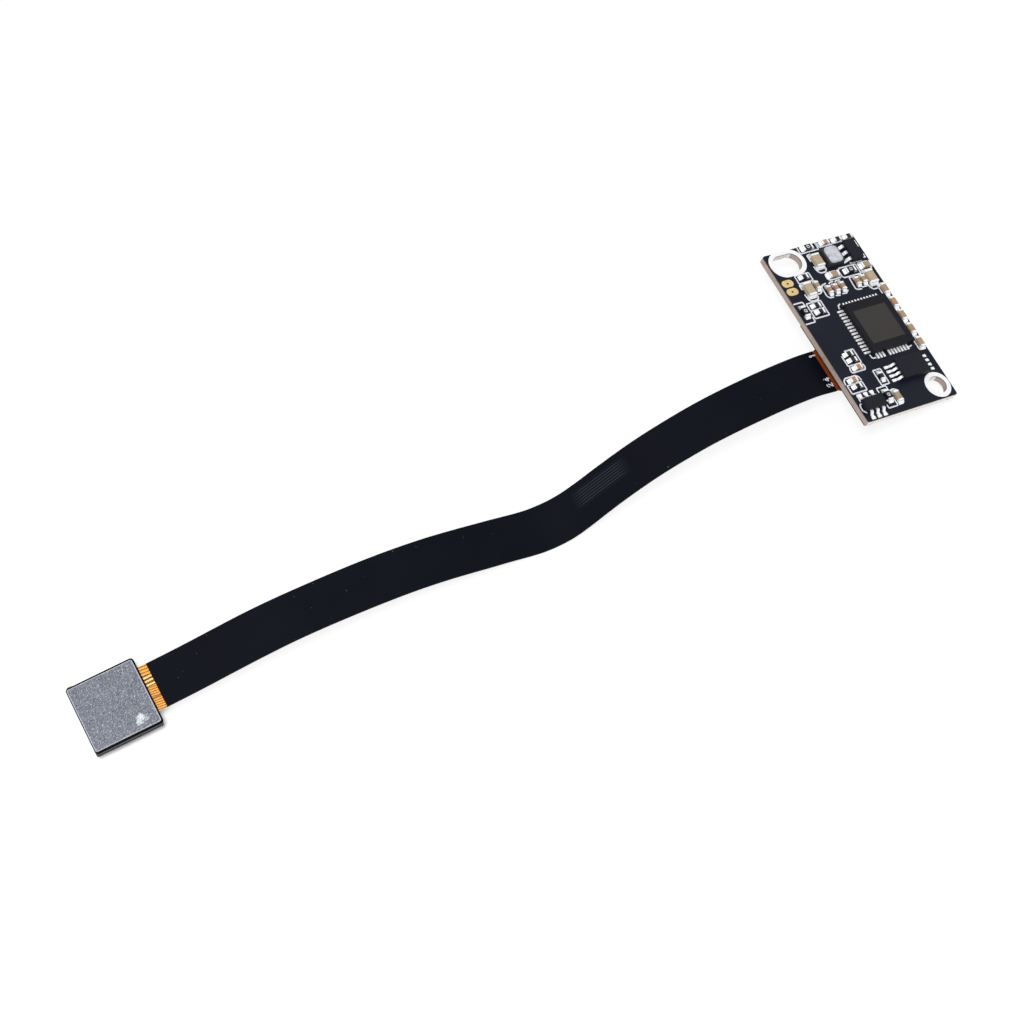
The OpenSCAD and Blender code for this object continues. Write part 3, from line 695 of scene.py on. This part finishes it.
def at_flex(x, y, z):
    """A place at the head in millimetres: x and y from the plate's middle, z in the flex."""
    flex_foot = plate_low[2] - core_thickness
    return Vector((head_x + x / 1000, head_y + y / 1000, flex_foot + z / 1000))


# the circuit's tab shows past the bead at the back corner on the outer side
printed("flex_tab", [[(-3.9, 4.5), (-3.6, 4.5)]], 0.44, at_flex, 0.05, 0.125, flex, "polyimide")

silicon = Finish("sensor_silicon", Roughness=0.2)
sensor_x = silicon.along((1, 0, 0), (head_x, 0, 0))
sensor_y = silicon.along((0, 1, 0), (0, head_y, 0))
field_x, field_y, field_fade = 0.00175, 0.00135, 0.00005
pixel_field = (silicon.step(abs(sensor_x), field_x + field_fade, field_x)
               * silicon.step(abs(sensor_y), field_y + field_fade, field_y))
silicon.feed(Base_Color=silicon.mix(pixel_field, shade(70, 66, 60), shade(38, 52, 60)))
silicon.bump(silicon.noise(0.00006), 0.000004)
silicon.give("image_sensor")

lens_glass = Finish("coated_glass", Roughness=0.05, Transmission_Weight=0.9, IOR=1.52,
                    Coat_Weight=0.5, Coat_Roughness=0.03)
coat_tint = lens_glass.noise(0.002, 1, 0.5)
lens_glass.feed(Base_Color=lens_glass.mix(coat_tint, shade(170, 190, 225), shade(200, 180, 225)))
lens_glass.give("front_lens")

filter_glass = Finish("filter_glass", Roughness=0.06, Transmission_Weight=0.9, IOR=1.5)
filter_glass.feed(Base_Color=filter_glass.mix(filter_glass.noise(0.0015), shade(150, 205, 220),
                                              shade(170, 215, 225)))
filter_glass.give("infrared_filter")

# ---------------------------------------------------------------------------
# Ribbon plug and board socket: a low board-to-board pair with gold plated contacts,
# soldered to the end of the flex and to the underside of the board.
# ---------------------------------------------------------------------------
connector = Finish("connector_black", Roughness=0.6, Specular_IOR_Level=0.25)
connector.grain(connector.noise(0.00012, 3, 0.6), (34, 32, 30), (52, 49, 46), 0.00001)
connector.give("ribbon_plug", "board_socket")
soften("ribbon_plug", 0.00004)
soften("board_socket", 0.00004)

gold = Finish("gold_plating", Metallic=0.75)
gold.grain(gold.noise(0.0004, 3, 0.6), (200, 166, 100), (236, 214, 160), 0.00001, 0.28, 0.48)
gold.give("plug_contacts", "socket_contacts", "test_pads", "usb_header_pins")

# ---------------------------------------------------------------------------
# Circuit board: glass laminate under a black solder mask on both faces. The sawn
# sides and the drilled walls show the bare laminate. Tinned rings surround the holes.
# ---------------------------------------------------------------------------
mask = Finish("solder_mask", Specular_IOR_Level=0.1)


def facing(axis):
    """1 where the board's surface faces along an axis, and -1 where it faces the other way."""
    normal = mask.node("ShaderNodeNewGeometry", {}, {}, "True Normal")
    return mask.node("ShaderNodeVectorMath", {"operation": "DOT_PRODUCT"},
                     {0: normal, 1: axis}, "Value")


sawn = abs(facing(board_z_axis)) < 0.5
mask_grain = mask.noise(0.00016, 3, 0.6)
mask_cloud = mask.noise(0.004, 2, 0.5)
mask_colour = mask.mix(mask_cloud, shade(14, 17, 28), shade(24, 27, 40))
glass_weave = mask.noise(0.00022, 4, 0.75)
laminate = mask.mix(glass_weave, shade(198, 190, 184), shade(250, 246, 242))
laminate = mask.mix(mask.step(mask.noise(0.0007, 2, 0.6), 0.55, 0.72) * 0.5, laminate,
                    shade(150, 138, 130))
# painted shade: the side by the ribbon is made browner; each cut edge keeps a dark line of mask at the face
laminate = mask.mix((facing(-board_x_axis) > 0.5) * 0.7, laminate, shade(112, 84, 70))
mask_line = mask.step(mask.along(board_z_axis, board_origin), -0.00016, -0.00008)
laminate = mask.mix(mask_line * 0.8, laminate, shade(24, 24, 30))
mask.feed(Base_Color=mask.mix(sawn, mask_colour, laminate), Roughness=0.36 + sawn * 0.4)
mask.bump(mask_grain * 0.4 + sawn * glass_weave, 0.00001)
mask.give("circuit_board")

tin = Finish("bright_tin", Metallic=0.55)
tin.grain(tin.noise(0.0005, 3, 0.6), (228, 230, 234), (250, 250, 251), 0.00002, 0.3, 0.5)
tin.give("hole_rings", "flash_chip_leads", "five_pin_leads", "six_pin_leads",
         "capacitor_ends", "resistor_ends", "usb_header_anchors")

solder = Finish("flowed_solder", Metallic=0.5)
solder.grain(solder.noise(0.00035, 2, 0.5), (232, 233, 236), (250, 250, 250), 0.00004,
             0.25, 0.45)
solder.give("main_chip_pads", "solder_joints")

# ---------------------------------------------------------------------------
# Chips: moulded epoxy blocks on tinned leads. The main chip is a leadless square with
# a smoother square left on its top, and all markings are left off.
# ---------------------------------------------------------------------------
epoxy = Finish("chip_epoxy", Specular_IOR_Level=0.12)
epoxy.grain(epoxy.noise(0.00009, 3, 0.7), (17, 18, 24), (30, 31, 38), 0.00001, 0.5, 0.65)
for chip in ("flash_chip", "five_pin_regulator", "six_pin_chip"):
    epoxy.give(chip)
    soften(chip, 0.00008)

# the layout is drawn on a board 25.2 mm long and spreads out on a longer one
drawn_long = 25.2


def on_board(x, y, z):
    """A place on the board's face, in millimetres of the layout as it is drawn: x from the
    ribbon's edge, y from the back edge."""
    return board_point(x / 1000, board_high[1] * (1 - 2 * y / drawn_long), z / 1000)


chip_x, chip_y = 9.75, 13.3
chip_middle = on_board(chip_x, chip_y, 0)
main_top = Finish("main_chip_top", Specular_IOR_Level=0.12)
main_grain = main_top.noise(0.0001, 3, 0.7)
main_x = main_top.along(board_x_axis, chip_middle)
main_y = main_top.along(board_y_axis, chip_middle)
window_x, window_y, window_fade = 0.0026, 0.00247, 0.00008
window = (main_top.step(abs(main_x + 0.00015), window_x + window_fade, window_x)
          * main_top.step(abs(main_y + 0.0001), window_y + window_fade, window_y))
top_start, top_full = 0.0007, 0.00075
window = window * main_top.step(main_top.along(board_z_axis, chip_middle), top_start, top_full)
main_colour = main_top.mix(main_grain, shade(14, 14, 19), shade(25, 25, 31))
main_colour = main_top.mix(window, main_colour,
                           main_top.mix(main_grain, shade(47, 45, 44), shade(60, 57, 55)))
main_top.feed(Base_Color=main_colour, Roughness=0.5 + main_grain * 0.15)
main_top.bump(main_grain, 0.00001)
main_top.give("main_chip")
soften("main_chip", 0.00006)

# ---------------------------------------------------------------------------
# Power inductor: a ferrite core with its winding, sealed on top with a lumpy cap of
# grey magnetic resin that is poured on and cured.
# ---------------------------------------------------------------------------
ferrite = Finish("ferrite", Roughness=0.5, Specular_IOR_Level=0.3)
ferrite.grain(ferrite.noise(0.0002, 3, 0.6), (28, 28, 31), (50, 50, 54), 0.00003)
ferrite.give("inductor_core")

resin = Finish("magnetic_resin", Roughness=0.45, Specular_IOR_Level=0.3)
# the noise that raises the lumps also colours them: the resin's own mottling, with painted shade in the hollows
resin.grain(resin.noise(0.0006, 3, 0.55), (140, 142, 150), (218, 220, 227), 0.00008)
resin.give("inductor_coating")
soften("inductor_coating", 0.00012, 3)

# ---------------------------------------------------------------------------
# Capacitors and resistors: fired ceramic bodies with tinned ends. The small capacitors
# are bare tan ceramic that varies by batch, the large ones khaki; the resistors are
# black glazed.
# ---------------------------------------------------------------------------
ceramic = Finish("capacitor_ceramic", Specular_IOR_Level=0.35)
ceramic_batch = ceramic.noise(0.0016, 1, 0.4)
ceramic_grain = ceramic.noise(0.0002, 3, 0.6)
ceramic_colour = ceramic.ramp(ceramic_batch, (0.38, shade(160, 148, 120)),
                              (0.5, shade(166, 136, 108)), (0.6, shade(178, 128, 96)))
ceramic.feed(Base_Color=ceramic.mix(ceramic_grain * 0.4, ceramic_colour, shade(120, 100, 80)),
             Roughness=0.35 + ceramic_grain * 0.2)
ceramic.bump(ceramic_grain, 0.00002)
ceramic.give("small_capacitors", "middle_capacitors")

khaki = Finish("capacitor_khaki", Specular_IOR_Level=0.35)
khaki.grain(khaki.noise(0.0003, 3, 0.6), (138, 116, 88), (196, 182, 158), 0.00002, 0.35, 0.55)
khaki.give("large_capacitors")

glaze = Finish("resistor_glaze", Roughness=0.25, Specular_IOR_Level=0.3)
glaze.grain(glaze.noise(0.00025, 2, 0.5), (14, 14, 16), (26, 26, 29), 0.00001)
glaze.give("small_resistors", "middle_resistors")


# ---------------------------------------------------------------------------
# Board print and solder tips: white ink outlines round the parts, laid on the mask
# before assembly, square marks on the larger resistors, and the solder that crept out
# past the main chip.
# ---------------------------------------------------------------------------
outlines = [
    # resistor and capacitors along the back edge
    [(5.6, 0.12), (5.6, 1), (8.6, 1), (8.6, 0.12)],
    [(8.85, 0.15), (8.85, 0.8), (10.9, 0.8)],
    [(11.1, 0.15), (11.1, 0.75), (12.6, 0.75)],
    [(13.05, 0.15), (13.05, 0.6), (14.3, 0.6)],
    # regulator
    [(14.5, 1.15), (14.5, 2.05)],
    [(11.8, 4.05), (13.6, 4.05)],
    # large capacitor left of the inductor
    [(6.35, 2.35), (6.3, 1.45), (6.9, 1.4)],
    [(6.3, 3.2), (6.35, 3.9), (6.7, 4.3), (7.5, 4.3), (7.85, 3.95), (7.85, 3.6)],
    # row under the inductor
    [(7.4, 4.55), (7.1, 4.75), (7.1, 5.35), (7.4, 5.6), (9.1, 5.6)],
    [(7.5, 4.5), (8.9, 4.5)],
    [(9.6, 4.35), (12.4, 4.35), (12.4, 5.8), (9.6, 5.8), (9.35, 5.5), (9.35, 4.65), (9.6, 4.35)],
    [(12.75, 4.75), (12.75, 4.35), (14.3, 4.35), (14.55, 4.6)],
    [(12.75, 5.15), (12.75, 5.55), (14.2, 5.55), (14.5, 5.3)],
    # beside the test pads
    [(2.7, 3.75), (5, 3.75), (5, 4.95), (2.7, 4.95), (2.7, 3.75)],
    [(2.6, 5.8), (2.55, 5.15), (3, 5.05)],
    [(2.5, 6.6), (2.6, 7.45), (2.9, 7.7), (3.9, 7.7), (4.15, 7.45), (4.2, 6.9)],
    [(4.4, 7), (4.9, 6.95), (5.25, 6.7), (5.25, 6.2)],
    [(4.6, 5), (5.15, 5.05), (5.3, 5.35)],
    # three capacitors
    [(6.4, 5.85), (5.75, 5.95), (5.5, 6.3), (5.45, 7.55), (5.7, 7.9), (6.3, 7.95)],
    [(6.9, 6), (7.1, 5.85), (7.6, 5.85)],
    [(6.8, 7.85), (7.4, 7.95)],
    [(7.9, 6), (8.1, 5.85), (8.7, 5.9)],
    [(7.9, 7.85), (8.5, 7.9), (8.95, 7.55)],
    # two capacitors and the large one
    [(11, 5.9), (10.25, 5.95), (10.15, 7.65), (10.4, 7.85), (11, 7.9)],
    [(11.3, 7.7), (12.1, 7.7)],
    [(12.3, 7.35), (12.35, 8), (12.7, 8.4), (13.5, 8.4), (13.85, 8.05)],
    # left edge
    [(0.1, 7.45), (1.5, 7.45), (1.5, 8.05)],
    [(0.1, 10.5), (1.55, 10.5), (1.6, 9.8)],
    [(1.85, 7.85), (4.15, 7.85), (4.15, 10.1), (1.85, 10.1), (1.85, 7.85)],
    [(1.85, 8.95), (4.15, 8.95)],
    # capacitors along the far edge
    *[[(14.4, y), (13.54, y), (13.54, y + 1.75), (14.4, y + 1.75)]
      for y in (8.1, 10.15, 12.2, 14.25, 16.3)],
    # corners of the main chip
    [(6.05, 9.7), (6.1, 9.3), (6.5, 9.1)],
    [(6.1, 16.85), (6.15, 17.35), (6.7, 17.4)],
    [(12.1, 17.35), (12.75, 17.2)],
    # near the ribbon edge
    [(2.9, 15.4), (4.3, 15.4), (4.3, 17.45), (2.1, 17.45), (2.1, 16)],
    [(2.2, 17.65), (2.05, 18), (2.1, 18.45), (4.2, 18.45), (4.4, 18.1), (4.3, 17.7)],
    [(0.15, 19.65), (0.2, 19.2), (0.55, 18.85), (2.3, 18.85), (2.65, 19.2), (2.7, 19.65)],
    [(0.25, 19.85), (2.65, 19.85), (2.65, 21.1), (0.25, 21.1), (0.25, 19.85)],
    [(5.05, 18.95), (6.3, 18.95), (6.3, 21.15), (5.05, 21.15), (5.05, 18.95)],
    # six-pin chip
    [(0.7, 22.3), (0.7, 21.4), (1.2, 21.4)],
    [(0.6, 22.6), (0.25, 22.8), (0.2, 23.55), (0.6, 23.95)],
    [(4, 21.9), (4, 21.3), (5.5, 21.3), (5.5, 22.05)],
    [(4, 23.25), (5.5, 23.25), (5.5, 24.25), (4, 24.25), (4, 23.25)],
    [(5.7, 22.1), (6.2, 22), (6.7, 22.25), (6.75, 23.75), (6.45, 24.15), (5.75, 24.2)],
]
printed("part_outlines", outlines, 0.19, on_board)

# solder has crept out past the main chip along its back edge, one tip to each pad
pad_count, pad_pitch = 12, 0.496
chip_back = drawn_long / 2 * (1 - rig.box("main_chip")[1][1] / board_high[1])
crept = [[(x, chip_back - 0.32), (x, chip_back - 0.52)]
         for x in [chip_x + (k - (pad_count - 1) / 2) * pad_pitch for k in range(pad_count)]]
printed("back_row_solder", crept, 0.24, on_board, 0.02, 0.03, solder, "solder")

# a square mark on each of the larger resistors
resistor_top = 0.46
half_mark = 0.16
square = [(-half_mark, -half_mark), (half_mark, -half_mark), (half_mark, half_mark),
          (-half_mark, half_mark), (-half_mark, -half_mark)]
marks = [[(x + side_x, y + side_y) for side_x, side_y in square]
         for x, y in ((6.95, 0.48), (10.95, 5.05), (0.85, 8.9), (4.8, 22.7))]


def on_resistor(x, y, z):
    return on_board(x, y, z + resistor_top)


printed("resistor_marks", marks, 0.1, on_resistor, 0.02, 0.01)

# ---------------------------------------------------------------------------
# Underside: a strip of black tape along the ribbon's edge, and the small side-entry
# header for the USB cable, moulded in cream plastic.
# ---------------------------------------------------------------------------
tape = Finish("black_tape", Roughness=0.6, Specular_IOR_Level=0.2)
tape.grain(tape.noise(0.0003, 3, 0.6), (22, 22, 26), (36, 36, 41), 0.00002)
tape.give("underside_tape")

cream = Finish("header_plastic", Roughness=0.5, Specular_IOR_Level=0.4)
cream.grain(cream.noise(0.0008, 3, 0.55), (220, 212, 190), (236, 230, 212), 0.00002)
cream.give("usb_header")
soften("usb_header", 0.00006)

# ---------------------------------------------------------------------------
# Table and light: a white sheet in even light from all round. A small lamp high over
# the head and a broad weak one behind leave the head a short soft shadow along its
# front edge.
# ---------------------------------------------------------------------------
table_reach, table_level = 1.5, -0.00003
table = bpy.data.objects.new("table", bpy.data.meshes.new("table"))
table.data.from_pydata([(x * table_reach, y * table_reach, table_level)
                        for x, y in ((-1, -1), (1, -1), (1, 1), (-1, 1))], [], [[0, 1, 2, 3]])
bpy.context.scene.collection.objects.link(table)
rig.stage(table)
sheet = Finish("white_sheet", Roughness=0.9, Specular_IOR_Level=0.0)
sheet.feed(Base_Color=sheet.mix(sheet.noise(0.02), shade(248, 248, 249), shade(252, 252, 252)))
straight = sheet.node("ShaderNodeLightPath", {}, {}, "Is Camera Ray")
mirrored = straight.maths("MAXIMUM", straight.out("Is Glossy Ray"),
                          straight.out("Is Transmission Ray"))
glow = sheet.node("ShaderNodeEmission", {}, {"Color": shade(255, 255, 255), "Strength": 1.0})


def outside(x_near, x_far, y_near, y_far):
    """0 round the head and 1 beyond, with a smooth change between near and far on each side."""
    beyond_x = sheet.step(abs(sheet.along((1, 0, 0), (head_x, 0, 0))), x_near, x_far)
    beyond_y = sheet.step(abs(sheet.along((0, 1, 0), (0, head_y, 0))), y_near, y_far)
    return 1 - (1 - beyond_x) * (1 - beyond_y)


# away from the head the sheet glows, so it shows less of the soft shade under the raised
# ribbon and board, and far off it turns to the plain white of the room
by_head, past_head, far_off, in_mirror = 0.1, 0.75, 0.15, 0.5
shown = (by_head + outside(0.0042, 0.0065, 0.012, 0.02) * past_head
         + outside(0.15, 0.5, 0.15, 0.5) * far_off)
lit = Wire(sheet, sheet.shader.outputs[0])
surface = sheet.node("ShaderNodeMixShader", {}, {0: straight * shown + mirrored * in_mirror,
                                                 1: lit, 2: glow})
# a view from below looks through the sheet at the underside
below = sheet.node("ShaderNodeNewGeometry", {}, {}, "Backfacing")
clear = sheet.node("ShaderNodeBsdfTransparent", {}, {})
surface = sheet.node("ShaderNodeMixShader", {}, {0: straight * below, 1: surface, 2: clear})
sheet.tree.links.new(surface.socket, sheet.tree.nodes["Material Output"].inputs["Surface"])
table.data.materials.append(sheet.material)


class Room(Finish):
    """The white room all round, built with the same methods as a finish."""

    def __init__(self, name, **fixed):
        self.world = bpy.data.worlds.new(name)
        self.world.use_nodes = True
        self.tree = self.world.node_tree
        self.shader = self.tree.nodes["Background"]
        self.feed(**fixed)


# the room lights the module at room_light, and is plain white where it is seen or mirrored
room_light = 0.55
room = Room("studio", Color=(1, 1, 1, 1))
looked_at = room.node("ShaderNodeLightPath", {}, {}, "Is Camera Ray")
looked_at = looked_at.maths("MAXIMUM", looked_at, looked_at.out("Is Glossy Ray"))
room.feed(Strength=room_light + looked_at * (1 - room_light))
bpy.context.scene.world = room.world


def lamp(name, place, size, power):
    """A round lamp that points at the middle of the base."""
    light = bpy.data.lights.new(name, "AREA")
    light.shape = "DISK"
    light.size = size
    light.energy = power
    stand = bpy.data.objects.new(name, light)
    bpy.context.scene.collection.objects.link(stand)
    stand.location = place
    stand.rotation_euler = Vector(place).to_track_quat("Z", "Y").to_euler()


lamp("key", place=(-0.075, -0.105, 0.42), size=0.08, power=1.5)
lamp("rim", place=(-0.15, 0.4, 0.4), size=0.4, power=0.3)

with open("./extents.json", "w") as sizes:
    json.dump({"cad": [list(c) for c in cad_box], "visual": [list(c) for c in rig.bounds()]}, sizes)
